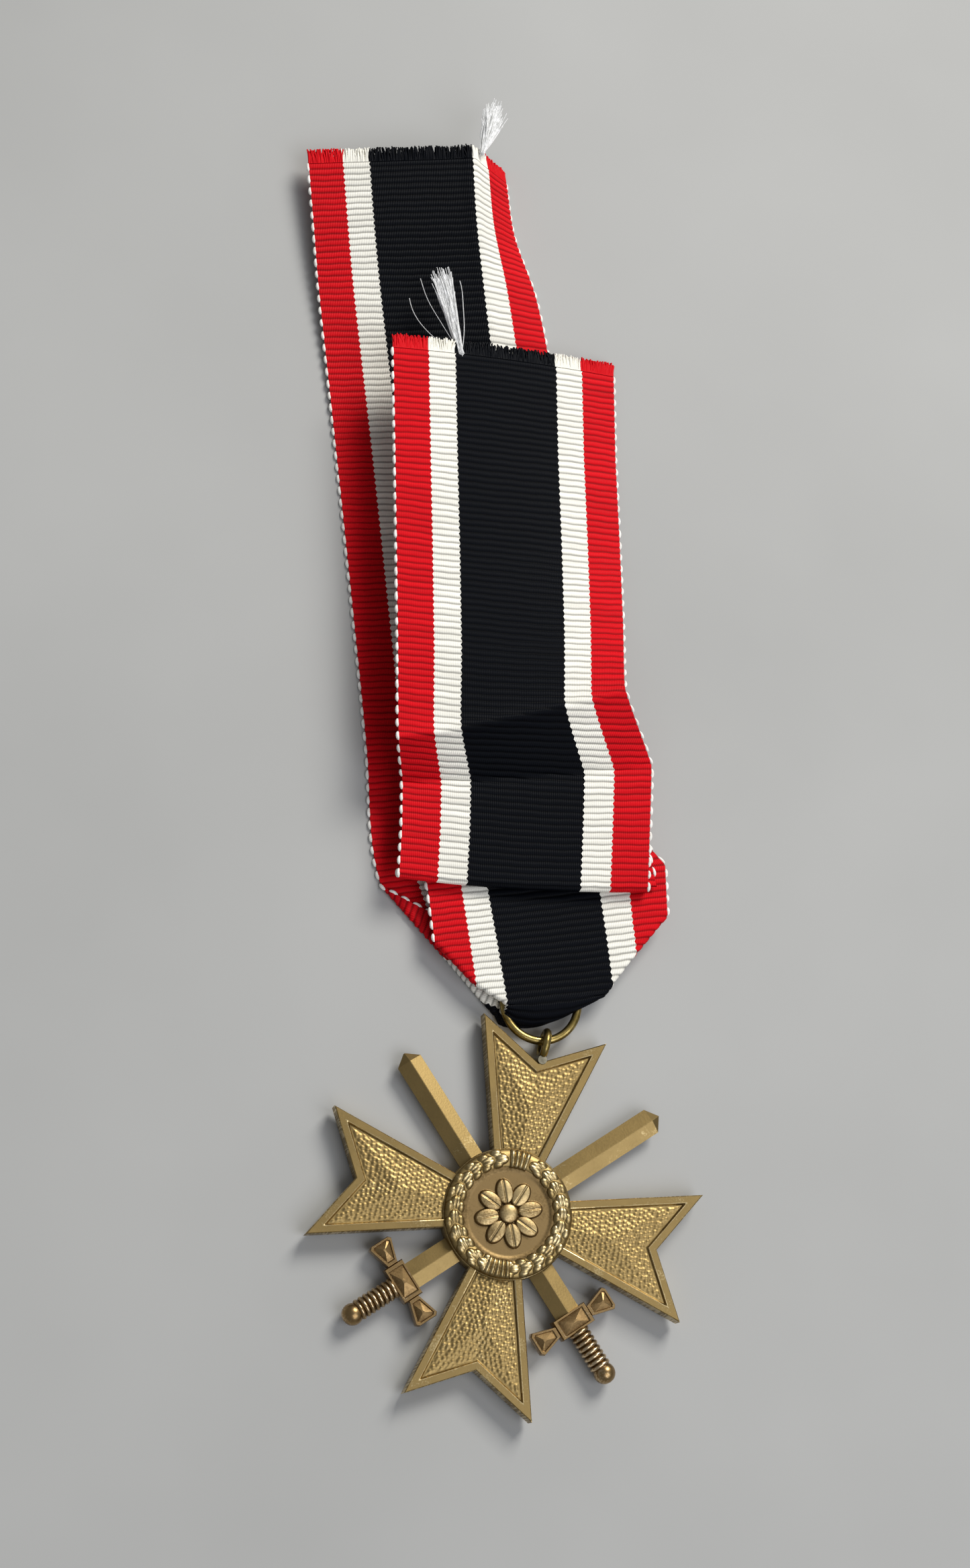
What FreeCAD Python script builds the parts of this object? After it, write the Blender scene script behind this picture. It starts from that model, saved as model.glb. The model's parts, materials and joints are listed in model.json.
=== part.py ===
import FreeCAD
import Part
import Sketcher

import math
import os
import re

from FreeCAD import Placement, Rotation, Vector

# A struck bronze cross with swords, lying face up, with its ring and its folded ribbon.
# Millimetres. The working frame has its origin under the middle of the cross, +Y towards the
# ribbon's free ends and +Z up from the surface that everything lies on. The cross is turned a
# little clockwise in that frame. At the end every sub-part is shifted together, so that the
# origin is at the middle of the whole object's base.

DRIVING = {
    # cross plate
    "cross_turn": -11.91,
    "tip_radius": 24.0,
    "tip_half": 8.09,
    "notch_radius": 19.42,
    "waist_radius": 3.0,
    "waist_half": 2.13,
    "plate_lift": 0.75,
    "plate_thick": 2.5,
    "rim_width": 1.15,
    "field_sink": 0.3,
    "hub_radius": 8.4,
    "hub_thick": 0.6,
    "channel_clear": 0.05,
    # medallion
    "wreath_outer": 8.0,
    "wreath_inner": 5.65,
    "wreath_height": 1.05,
    "wreath_round": 0.4,
    "disc_thick": 0.4,
    "rosette_radius": 3.9,
    "rosette_thick": 0.35,
    "petal_radius": 1.35,
    "petals": 8,
    # swords
    "sword_axis": 1.8,
    "blade_half": 1.68,
    "blade_half_thick": 0.8,
    "blade_edge": 0.15,
    "blade_tip": 23.7,
    "blade_shoulder": 22.5,
    "guard_near": 14.1,
    "guard_far": 16.75,
    "block_half": 2.42,
    "flare_waist": 0.75,
    "flare_reach": 5.65,
    "guard_half_thick": 1.05,
    "grip_radius": 1.3,
    "pommel_centre": 22.75,
    "pommel_radius": 1.35,
    # eyelet and ring
    "eyelet_side": 0.4,
    "eyelet_radius": 22.1,
    "eyelet_height": 2.2,
    "eyelet_bend": 1.65,
    "eyelet_wire": 0.5,
    "solder_radius": 0.95,
    "solder_taper": 0.6,
    "solder_foot": 0.5,
    "solder_short": 0.4,
    "ring_side": 4.61,
    "ring_up": 26.89,
    "ring_height": 2.0,
    "ring_bend": 4.82,
    "ring_wire": 0.53,
    # ribbon
    "ribbon_width": 31.8,
    "ribbon_thick": 0.5,
    "loop_half": 3.0,
    "loop_drop": 2.4,
    "loop_outer": 1.5,
    "loop_height": 1.85,
    "back_turn": 6.03,
    "back_side": -16.57,
    "back_start": 43.87,
    "back_length": 101.0,
    "back_neck_right": 3.5,
    "back_neck_right_drop": 9.0,
    "back_side_drop": 4.0,
    "back_neck_left": 3.0,
    "back_neck_left_drop": 4.5,
    "front_base": 2.85,
    "front_start": 1.0,
    "front_neck_right": 8.7,
    "front_neck_right_rise": 2.0,
    "front_right": 16.5,
    "front_right_rise": 12.2,
    "front_left": 15.6,
    "front_neck_left": 13.2,
    "front_neck_left_rise": 7.0,
    "front_top_right": 13.8,
    "front_top_left": 17.2,
    "front_top_skew": 4.0,
    "pleat_base": 3.65,
    "pleat_top": 56.0,
    "pleat_inset": 0.6,
    "pleat_clear": 0.4,
    "pleat_skew": 3.0,
    "fold_line": 42.6,
    # front flap
    "flap_left": -14.0,
    "flap_base": 4.45,
    "flap_low_end": 56.5,
    "flap_low_shift": 0.4,
    "flap_crest": 66.0,
    "flap_crest_shift": 1.2,
    "flap_shift": -2.2,
    "flap_end_shift": -0.2,
    "flap_lean": 15.5,
    "flap_right_base": 1.1,
    "flap_end": 112.3,
    # loose threads
    "fringe_length": 2.0,
    "fringe_gap": 0.05,
    "fringe_inset": 0.3,
    "fringe_lift": 0.1,
    "fringe_thick": 0.3,
    "fringe_right_lift": 0.2,
    "tuft_radius": 0.9,
    "tuft_gap": 0.2,
    "back_tuft_across": 24.5,
    "back_tuft_height": 1.2,
    "back_tuft_length": 8.5,
    "front_tuft_across": 9.5,
    "front_tuft_gap": 0.3,
    "front_tuft_sink": 2.2,
    "front_tuft_length": 13.0,
}

# The ways that the two loose locks of thread point.
BACK_TUFT_WAY = Vector(0.15, 1, 0.06)
FRONT_TUFT_WAY = Vector(-0.3, 1, -0.1)

document = FreeCAD.newDocument("service_medal")
sheet = document.addObject("Spreadsheet::Sheet", "dimensions")
for row, (alias, value) in enumerate(DRIVING.items(), start=1):
    sheet.set(f"A{row}", alias)
    sheet.set(f"B{row}", str(value))
    sheet.setAlias(f"B{row}", alias)
document.recompute()

size = {alias: float(sheet.get(alias)) for alias in DRIVING}
sub_parts = []


# --- helpers ---------------------------------------------------------------------------------


def with_cells(words):
    """An expression in the sheet's words, with each word pointed at the sheet."""
    return re.sub(r"[a-z_]{3,}", lambda found: f"dimensions.{found.group()}", words)


def worked_out(words):
    """The same expression as a number. Its terms are products, joined by plus and minus."""
    total = 0.0
    for term in words.replace("-", "+-").split("+"):
        text = term.strip()
        if not text:
            continue
        product = -1.0 if text.startswith("-") else 1.0
        for factor in text.lstrip("-").split("*"):
            name = factor.strip()
            product *= size[name] if name in size else float(name)
        total += product
    return total


def new_body(label):
    body = document.addObject("PartDesign::Body", label)
    body.Label = label
    return body


def plane_of(body, role):
    return [feature for feature in body.Origin.OriginFeatures if feature.Role == role][0]


def new_sketch(body, name, role="XY_Plane", offset=None):
    sketch = body.newObject("Sketcher::SketchObject", name)
    sketch.AttachmentSupport = (plane_of(body, role), [""])
    sketch.MapMode = "FlatFace"
    if offset is not None:
        sketch.AttachmentOffset = offset
    return sketch


def pin_point(sketch, edge, end, across, along):
    """Ties one end of an edge to the sheet, measured from the sketch's origin."""
    for kind, words in (("DistanceX", across), ("DistanceY", along)):
        index = sketch.addConstraint(Sketcher.Constraint(kind, -1, 1, edge, end, worked_out(words)))
        sketch.setExpression(f"Constraints[{index}]", with_cells(words))


def draw_outline(sketch, corners):
    """A closed run of straight edges. Each corner is a pair of expressions."""
    points = [Vector(worked_out(x), worked_out(y), 0) for x, y in corners]
    first = sketch.GeometryCount
    for here, there in zip(points, points[1:] + points[:1]):
        sketch.addGeometry(Part.LineSegment(here, there), False)
    count = len(points)
    for step in range(count):
        following = first + (step + 1) % count
        sketch.addConstraint(Sketcher.Constraint("Coincident", first + step, 2, following, 1))
    for step, (x, y) in enumerate(corners):
        pin_point(sketch, first + step, 1, x, y)


def draw_box(sketch, half_across, half_along):
    """A rectangle about the sketch's origin, from two expressions."""
    low_across = negative(half_across)
    low_along = negative(half_along)
    draw_outline(
        sketch,
        [
            (low_across, low_along),
            (half_across, low_along),
            (half_across, half_along),
            (low_across, half_along),
        ],
    )


def negative(words):
    """The expression with every sign turned. Its terms are joined by plus and minus only."""
    flipped = words.replace(" - ", " @ ").replace(" + ", " - ").replace(" @ ", " + ")
    return f"-{flipped}"


def add_circle(sketch, radius, across="0", along="0"):
    """A circle whose radius and centre are expressions."""
    centre = Vector(worked_out(across), worked_out(along), 0)
    edge = sketch.addGeometry(Part.Circle(centre, Vector(0, 0, 1), worked_out(radius)), False)
    index = sketch.addConstraint(Sketcher.Constraint("Radius", edge, worked_out(radius)))
    sketch.setExpression(f"Constraints[{index}]", with_cells(radius))
    pin_point(sketch, edge, 3, across, along)


def add_feature(body, kind, name, sketch, **values):
    """A Pad, Pocket or other feature on a sketch. Text values are expressions."""
    feature = body.newObject(f"PartDesign::{kind}", name)
    feature.Profile = sketch
    for key, value in values.items():
        if isinstance(value, str) and key != "Type":
            feature.setExpression(key, with_cells(value))
        else:
            setattr(feature, key, value)
    sketch.Visibility = False
    document.recompute()
    return feature


def keep(thing, label, move=None):
    """Registers a finished sub-part and gives it its place in the working frame."""
    thing.Label = label
    if move is not None:
        thing.Placement = move
    sub_parts.append(thing)
    return thing


def lift(words):
    return Placement(Vector(0, 0, worked_out(words)), Rotation())


def on_cross(height, more_turn=0.0, side=0.0, up=0.0):
    """A place on the cross: turned with it, at a height, off its middle by side and up."""
    turned = Rotation(Vector(0, 0, 1), size["cross_turn"])
    spot = turned.multVec(Vector(side, up, 0)) + Vector(0, 0, height)
    return Placement(spot, Rotation(Vector(0, 0, 1), size["cross_turn"] + more_turn))


# --- cross plate -----------------------------------------------------------------------------


def arm_outline():
    """One arm pointing up: straight sides that flare to two tips, with a notch between them."""
    return [
        ("-waist_half", "waist_radius"),
        ("-tip_half", "tip_radius"),
        ("0", "notch_radius"),
        ("tip_half", "tip_radius"),
        ("waist_half", "waist_radius"),
        ("0", "0"),
    ]


def make_cross_plate():
    body = new_body("cross_plate")
    arm = new_sketch(body, "arm_outline")
    draw_outline(arm, arm_outline())
    first = add_feature(body, "Pad", "arm", arm, Length="plate_thick")
    star = body.newObject("PartDesign::PolarPattern", "four_arms")
    star.Originals = [first]
    star.Axis = (plane_of(body, "Z_Axis"), [""])
    star.Angle = 360
    star.Occurrences = 4
    body.Tip = star
    document.recompute()

    # Between the arms the hub is only a thin web at the front, which the blades pass under.
    hub = new_sketch(body, "hub_circle", offset=lift("plate_thick - hub_thick"))
    add_circle(hub, "hub_radius")
    add_feature(body, "Pad", "hub", hub, Length="hub_thick")

    field = new_sketch(body, "field_outline", offset=lift("plate_thick"))
    draw_outline(
        field,
        [
            ("-waist_half - 0.5*rim_width", "hub_radius + 0.5*rim_width"),
            ("-tip_half + 1.35*rim_width", "tip_radius - 1.75*rim_width"),
            ("0", "notch_radius - 1.35*rim_width"),
            ("tip_half - 1.35*rim_width", "tip_radius - 1.75*rim_width"),
            ("waist_half + 0.5*rim_width", "hub_radius + 0.5*rim_width"),
        ],
    )
    sunk = add_feature(body, "Pocket", "field", field, Length="field_sink")
    fields = body.newObject("PartDesign::PolarPattern", "four_fields")
    fields.Originals = [sunk]
    fields.Axis = (plane_of(body, "Z_Axis"), [""])
    fields.Angle = 360
    fields.Occurrences = 4
    body.Tip = fields
    document.recompute()

    channel = new_sketch(body, "channel_outline", offset=Placement(Vector(), Rotation(Vector(0, 0, 1), 45)))
    draw_box(channel, "hub_radius + 2*rim_width", "blade_half + channel_clear")
    groove = add_feature(
        body, "Pocket", "blade_channel", channel, Length="plate_thick - hub_thick", Reversed=True
    )
    grooves = body.newObject("PartDesign::PolarPattern", "two_channels")
    grooves.Originals = [groove]
    grooves.Axis = (plane_of(body, "Z_Axis"), [""])
    grooves.Angle = 90
    grooves.Occurrences = 2
    body.Tip = grooves
    document.recompute()
    return keep(body, "cross_plate", on_cross(size["plate_lift"]))


# --- medallion -------------------------------------------------------------------------------


def make_disc(label, height):
    disc = document.addObject("Part::Cylinder", label)
    disc.setExpression("Radius", "dimensions.wreath_inner")
    disc.setExpression("Height", "dimensions.disc_thick")
    return keep(disc, label, on_cross(height))


def make_wreath(label, height, thick, bead_side):
    """A ring with rounded shoulders on its outer side: front or back wreath."""
    body = new_body(label)
    ring = new_sketch(body, "wreath_rings")
    add_circle(ring, "wreath_outer")
    add_circle(ring, "wreath_inner")
    base = add_feature(body, "Pad", "wreath", ring, Length=thick)
    face = edge_face(base.Shape, bead_side)
    rounded = body.newObject("PartDesign::Fillet", "wreath_round")
    rounded.Base = (base, [face])
    rounded.setExpression("Radius", "dimensions.wreath_round")
    document.recompute()
    return keep(body, label, on_cross(height))


def edge_face(shape, side):
    """The name of the highest or lowest flat face of a shape."""
    heights = [face.CenterOfMass.z * side for face in shape.Faces]
    return f"Face{heights.index(max(heights)) + 1}"


def make_rosette(height):
    """A plain eight-petalled rosette: round petals about a round middle."""
    body = new_body("centre_rosette")
    middle = new_sketch(body, "middle_circle")
    add_circle(middle, "rosette_radius - 1.2*petal_radius")
    add_feature(body, "Pad", "middle", middle, Length="rosette_thick")
    petal = new_sketch(body, "petal_circle")
    add_circle(petal, "petal_radius", along="rosette_radius - petal_radius")
    first = add_feature(body, "Pad", "petal", petal, Length="rosette_thick")
    around = body.newObject("PartDesign::PolarPattern", "petals_around")
    around.Originals = [first]
    around.Axis = (plane_of(body, "Z_Axis"), [""])
    around.Angle = 360
    around.Occurrences = int(size["petals"])
    body.Tip = around
    document.recompute()
    return keep(body, "centre_rosette", on_cross(height))


# --- swords ----------------------------------------------------------------------------------


def guard_outline():
    """Half of the cross-guard on one side of the sword: a square block and a flared quillon."""
    return [
        ("-guard_far", "0"),
        ("-guard_far", "block_half"),
        ("-guard_far + 0.5*block_half - flare_waist*0.7", "block_half"),
        ("-guard_far", "flare_reach"),
        ("-guard_near + 0.1", "flare_reach"),
        ("-guard_near - flare_waist", "block_half"),
        ("-guard_near", "block_half"),
        ("-guard_near", "0"),
    ]


def make_sword(label, point_angle, lap_side):
    """One sword. Its own X runs from pommel to point, and its own Z is up from the blade's middle."""
    body = new_body(label)
    section = new_sketch(body, "blade_section", role="YZ_Plane", offset=lift("-guard_near"))
    draw_outline(
        section,
        [
            ("-blade_half", "-blade_half_thick"),
            ("blade_half", "-blade_half_thick"),
            ("blade_half", "blade_edge"),
            ("0", "blade_half_thick"),
            ("-blade_half", "blade_edge"),
        ],
    )
    add_feature(body, "Pad", "blade", section, Length="blade_tip + guard_near")

    for name, side in (("upper", ""), ("lower", "-")):
        clip = new_sketch(body, f"{name}_clip", offset=lift("blade_half_thick + 1"))
        draw_outline(
            clip,
            [
                ("blade_tip", "0"),
                ("blade_tip + 1", "0"),
                ("blade_tip + 1", f"{side}blade_half*1.2"),
                ("blade_shoulder", f"{side}blade_half*1.2"),
                ("blade_shoulder", f"{side}blade_half"),
            ],
        )
        add_feature(body, "Pocket", f"{name}_point", clip, Length="blade_half_thick*2 + 2")

    lap_low = "0" if lap_side > 0 else "-blade_half_thick - 0.1"
    lap = new_sketch(body, "lap_square", offset=lift(lap_low))
    draw_box(lap, "blade_half + channel_clear", "blade_half + channel_clear")
    add_feature(body, "Pocket", "lap", lap, Length="blade_half_thick + 0.1", Reversed=True)

    for name, side in (("upper", 1), ("lower", -1)):
        guard = new_sketch(body, f"{name}_guard", offset=lift("-guard_half_thick"))
        corners = guard_outline() if side > 0 else [(x, negative_one(y)) for x, y in guard_outline()]
        draw_outline(guard, corners)
        add_feature(body, "Pad", f"{name}_quillon", guard, Length="guard_half_thick*2")

    grip = new_sketch(body, "grip_profile", role="XZ_Plane")
    draw_outline(
        grip,
        [
            ("-guard_far", "0"),
            ("-guard_far", "grip_radius"),
            ("-pommel_centre", "grip_radius"),
            ("-pommel_centre", "0"),
        ],
    )
    turn_about(body, "grip", grip)
    turn_about(body, "pommel", pommel_profile(body))
    return keep(body, label, on_cross(size["sword_axis"], more_turn=point_angle))


def pommel_profile(body):
    """A half disc standing on the sword's axis. Turned about that axis it is the round pommel."""
    profile = new_sketch(body, "pommel_profile", role="XZ_Plane")
    radius = size["pommel_radius"]
    centre = Vector(-size["pommel_centre"], 0, 0)
    half_circle = Part.ArcOfCircle(Part.Circle(centre, Vector(0, 0, 1), radius), 0, math.pi)
    edge = profile.addGeometry(half_circle, False)
    pin_point(profile, edge, 3, "-pommel_centre", "0")
    for end in (1, 2):
        profile.addConstraint(Sketcher.Constraint("PointOnObject", edge, end, -1))
    index = profile.addConstraint(Sketcher.Constraint("Radius", edge, radius))
    profile.setExpression(f"Constraints[{index}]", with_cells("pommel_radius"))
    reach = Vector(radius, 0, 0)
    base = profile.addGeometry(Part.LineSegment(centre + reach, centre - reach), False)
    for end in (1, 2):
        profile.addConstraint(Sketcher.Constraint("Coincident", base, end, edge, end))
    return profile


def negative_one(words):
    return words if words == "0" else f"-{words}"


def turn_about(body, name, sketch):
    """A full turn of a profile about the body's own X axis."""
    turned = body.newObject("PartDesign::Revolution", name)
    turned.Profile = sketch
    turned.ReferenceAxis = (plane_of(body, "X_Axis"), [""])
    turned.Angle = 360
    sketch.Visibility = False
    document.recompute()
    return turned


# --- eyelet and ring -------------------------------------------------------------------------


def make_eyelet():
    eyelet = document.addObject("Part::Torus", "eyelet")
    eyelet.setExpression("Radius1", "dimensions.eyelet_bend")
    eyelet.setExpression("Radius2", "dimensions.eyelet_wire")
    place = on_cross(size["eyelet_height"], side=size["eyelet_side"], up=size["eyelet_radius"])
    place.Rotation = place.Rotation.multiply(Rotation(Vector(0, 1, 0), 90))
    return keep(eyelet, "eyelet", place)


def make_solder():
    """A small mound of solder in the notch, which holds the eyelet on edge."""
    solder = document.addObject("Part::Cone", "eyelet_solder")
    solder.setExpression("Radius1", "dimensions.solder_radius")
    solder.setExpression("Radius2", "dimensions.solder_radius*dimensions.solder_taper")
    solder.setExpression("Height", "dimensions.plate_thick - dimensions.solder_short")
    foot = size["plate_lift"] + size["solder_foot"]
    up = size["eyelet_radius"] - size["eyelet_bend"] - size["eyelet_wire"]
    return keep(solder, "eyelet_solder", on_cross(foot, side=size["eyelet_side"], up=up))


def make_ring():
    ring = document.addObject("Part::Torus", "suspension_ring")
    ring.setExpression("Radius1", "dimensions.ring_bend")
    ring.setExpression("Radius2", "dimensions.ring_wire")
    spot = Vector(size["ring_side"], size["ring_up"], size["ring_height"])
    return keep(ring, "suspension_ring", Placement(spot, Rotation()))


# --- ribbon ----------------------------------------------------------------------------------


def flat_cloth(label, height, corners):
    """A length of ribbon lying flat: an outline in the working frame, one cloth thick."""
    body = new_body(label)
    outline = new_sketch(body, "cloth_outline")
    draw_outline(outline, corners)
    add_feature(body, "Pad", "cloth", outline, Length="ribbon_thick")
    return keep(body, label, Placement(Vector(0, 0, height), Rotation()))


# The line about which the cloth bends inside the ring.
LOOP_AXIS = "ring_up - loop_drop + loop_outer"


def on_back(across, along):
    """A point of the back length, from its lower left corner, in the working frame."""
    turn = math.radians(size["back_turn"])
    x = size["back_side"] + across * math.cos(turn) - along * math.sin(turn)
    y = size["back_start"] + across * math.sin(turn) + along * math.cos(turn)
    return f"{x:.3f}", f"{y:.3f}"


def make_back_length():
    """The length behind: it narrows along two diagonal folds to pass through the ring."""
    width = size["ribbon_width"]
    corners = [
        ("ring_side - loop_half", f"{LOOP_AXIS} + fringe_gap"),
        ("ring_side + loop_half", f"{LOOP_AXIS} + fringe_gap"),
        on_back(width - size["back_neck_right"], -size["back_neck_right_drop"]),
        on_back(width, -size["back_side_drop"]),
        on_back(width, size["back_length"]),
        on_back(0, size["back_length"]),
        on_back(0, 0),
        on_back(size["back_neck_left"], -size["back_neck_left_drop"]),
    ]
    return flat_cloth("ribbon_back_length", 0.0, corners)


def make_loop():
    """The bend inside the ring: half a tube, open towards the two lengths."""
    body = new_body("ribbon_loop")
    section = new_sketch(body, "loop_section", role="YZ_Plane", offset=lift("-loop_half"))
    for radius in ("loop_outer", "loop_outer - ribbon_thick"):
        value = worked_out(radius)
        arc = Part.ArcOfCircle(Part.Circle(Vector(), Vector(0, 0, 1), value), math.pi / 2, 1.5 * math.pi)
        edge = section.addGeometry(arc, False)
        section.addConstraint(Sketcher.Constraint("Coincident", edge, 3, -1, 1))
        index = section.addConstraint(Sketcher.Constraint("Radius", edge, value))
        section.setExpression(f"Constraints[{index}]", with_cells(radius))
        section.addConstraint(Sketcher.Constraint("PointOnObject", edge, 1, -2))
        section.addConstraint(Sketcher.Constraint("PointOnObject", edge, 2, -2))
    outer = size["loop_outer"]
    inner = outer - size["ribbon_thick"]
    for end, sign in ((1, 1), (2, -1)):
        edge_line = Part.LineSegment(Vector(0, sign * outer, 0), Vector(0, sign * inner, 0))
        lip = section.addGeometry(edge_line, False)
        section.addConstraint(Sketcher.Constraint("Coincident", lip, 1, 0, end))
        section.addConstraint(Sketcher.Constraint("Coincident", lip, 2, 1, end))
    add_feature(body, "Pad", "bend", section, Length="loop_half*2")
    spot = Vector(size["ring_side"], worked_out(LOOP_AXIS), size["loop_height"])
    return keep(body, "ribbon_loop", Placement(spot, Rotation()))


def make_front_length():
    """The length in front, from the bend in the ring up to the hidden pleat."""
    corners = [
        ("ring_side - loop_half", f"{LOOP_AXIS} + front_start"),
        ("ring_side + loop_half", f"{LOOP_AXIS} + front_start"),
        ("ring_side + front_neck_right", "ring_up + front_neck_right_rise"),
        ("ring_side + front_right", "ring_up + front_right_rise"),
        ("ring_side + front_right", "fold_line"),
        ("ring_side + front_top_right", "pleat_top"),
        ("ring_side - front_top_left", "pleat_top - front_top_skew"),
        ("ring_side - front_left", "fold_line"),
        ("ring_side - front_neck_left", "ring_up + front_neck_left_rise"),
    ]
    return flat_cloth("ribbon_front_length", size["front_base"], corners)


def make_pleat():
    """The middle layer of the pleat, hidden between the front length and the flap."""
    left = "flap_left + pleat_inset"
    right = f"{left} + ribbon_width"
    corners = [
        (left, "fold_line + pleat_clear"),
        (right, "fold_line + pleat_clear"),
        (right, "pleat_top"),
        (left, "pleat_top - pleat_skew"),
    ]
    return flat_cloth("ribbon_pleat", size["pleat_base"], corners)


def make_flap():
    """The front flap: flat over the pleat, then up a crease, then leaning with its left edge raised."""
    body = new_body("ribbon_front_flap")
    width = size["ribbon_width"]
    lean = math.radians(size["flap_lean"])
    leaning_left = size["flap_left"] + size["flap_shift"]
    high = size["flap_right_base"] + width * math.sin(lean)
    narrowed = width * math.cos(lean)
    stations = [
        (size["fold_line"], size["flap_left"], size["flap_base"], width, 0.0),
        (size["flap_low_end"], size["flap_left"] + size["flap_low_shift"], size["flap_base"], width, 0.0),
        (size["flap_crest"], leaning_left + size["flap_crest_shift"], high, narrowed, lean),
        (size["flap_end"], leaning_left + size["flap_end_shift"], high, narrowed, lean),
    ]
    sketches = []
    for number, (along, left, height, across, tilt) in enumerate(stations):
        offset = Placement(Vector(0, 0, -along), Rotation())
        station = new_sketch(body, f"flap_section_{number}", role="XZ_Plane", offset=offset)
        drop = width * math.sin(tilt)
        thick = size["ribbon_thick"]
        draw_outline(
            station,
            [
                (f"{left:.3f}", f"{height:.3f}"),
                (f"{left + across:.3f}", f"{height - drop:.3f}"),
                (f"{left + across:.3f}", f"{height - drop + thick:.3f}"),
                (f"{left:.3f}", f"{height + thick:.3f}"),
            ],
        )
        sketches.append(station)
    loft = body.newObject("PartDesign::AdditiveLoft", "flap")
    loft.Profile = sketches[0]
    loft.Sections = sketches[1:]
    loft.Ruled = True
    document.recompute()
    return keep(body, "ribbon_front_flap", Placement())


def make_frayed_end(label, left, right, height):
    """A strip of loose threads just beyond a woven end, between two points."""
    ahead = (right - left).normalize()
    out = Vector(-ahead.y, ahead.x, 0) * size["fringe_length"]
    up = Vector(0, 0, size["fringe_thick"])
    base = Part.makePolygon([left, right, right + out, left + out, left])
    strip = document.addObject("Part::Feature", label)
    strip.Shape = Part.Face(base).extrude(up)
    return keep(strip, label, Placement(Vector(0, 0, height), Rotation()))


def make_tuft(label, root, direction, length):
    """A lock of loose white warp threads: narrow at its root, fanned out at its end."""
    tuft = document.addObject("Part::Cone", label)
    tuft.setExpression("Radius1", "dimensions.tuft_radius*0.5")
    tuft.setExpression("Radius2", "dimensions.tuft_radius")
    tuft.Height = length
    return keep(tuft, label, Placement(root, Rotation(Vector(0, 0, 1), direction)))


def back_point(across, along, height):
    """A point of the back length as a vector."""
    x, y = on_back(across, along)
    return Vector(float(x), float(y), height)


def make_ribbon_ends():
    """The frayed woven ends, and the loose lock of warp threads on each."""
    width = size["ribbon_width"]
    gap = size["fringe_gap"]
    inset = size["fringe_inset"]
    start = back_point(inset, size["back_length"] + gap, 0)
    finish = back_point(width - inset, size["back_length"] + gap, 0)
    make_frayed_end("frayed_end_back", start, finish, size["fringe_lift"])
    beyond = size["back_length"] + size["fringe_length"] + size["tuft_gap"]
    root = back_point(size["back_tuft_across"], beyond, size["back_tuft_height"])
    make_tuft("warp_tuft_back", root, BACK_TUFT_WAY, size["back_tuft_length"])

    lean = math.radians(size["flap_lean"])
    left = size["flap_left"] + size["flap_shift"] + size["flap_end_shift"]
    right = left + width * math.cos(lean)
    low = size["flap_right_base"]
    high = low + width * math.sin(lean)
    start = Vector(left + inset, size["flap_end"] + gap, high)
    finish = Vector(right - inset, size["flap_end"] + gap, low + size["fringe_right_lift"])
    make_frayed_end("frayed_end_front", start, finish, size["fringe_lift"])
    beyond = size["flap_end"] + size["fringe_length"] + size["front_tuft_gap"]
    root = Vector(left + size["front_tuft_across"], beyond, high - size["front_tuft_sink"])
    make_tuft("warp_tuft_front", root, FRONT_TUFT_WAY, size["front_tuft_length"])


# --- the whole object ------------------------------------------------------------------------

make_cross_plate()
face_height = size["plate_lift"] + size["plate_thick"]
make_disc("centre_disc", face_height)
make_rosette(face_height + size["disc_thick"])
make_wreath("oak_wreath_front", face_height, "wreath_height", 1)
make_disc("back_disc", size["plate_lift"] - size["disc_thick"])
make_wreath("oak_wreath_back", 0.0, "plate_lift", -1)
make_sword("sword_point_right", 45, 1)
make_sword("sword_point_left", 135, -1)
make_eyelet()
make_solder()
make_ring()
make_back_length()
make_loop()
make_front_length()
make_pleat()
make_flap()
make_ribbon_ends()
document.recompute()

whole = sub_parts[0].Shape.optimalBoundingBox()
for thing in sub_parts:
    whole.add(thing.Shape.optimalBoundingBox())
shift = Vector(-whole.Center.x, -whole.Center.y, -whole.ZMin)
for thing in sub_parts:
    place = thing.Placement
    thing.Placement = Placement(place.Base + shift, place.Rotation)
document.recompute()

for thing in document.Objects:
    if "Invalid" in thing.State or "Error" in thing.State:
        raise RuntimeError(f"{thing.Label} did not compute: {thing.State}")
for thing in sub_parts:
    if thing.Shape.isNull() or not thing.Shape.isValid() or not thing.Shape.Solids:
        raise RuntimeError(f"{thing.Label} has no valid solid")

os.makedirs("parts", exist_ok=True)
for thing in sub_parts:
    thing.Shape.exportStep(f"parts/{thing.Label}.step")

print("whole object", [round(v, 2) for v in (whole.XLength, whole.YLength, whole.ZLength)])
print("shift", [round(v, 3) for v in shift])
for thing in sub_parts:
    print(thing.Label, round(thing.Shape.Volume, 2), "mm3")
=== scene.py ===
import json
import math

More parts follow.
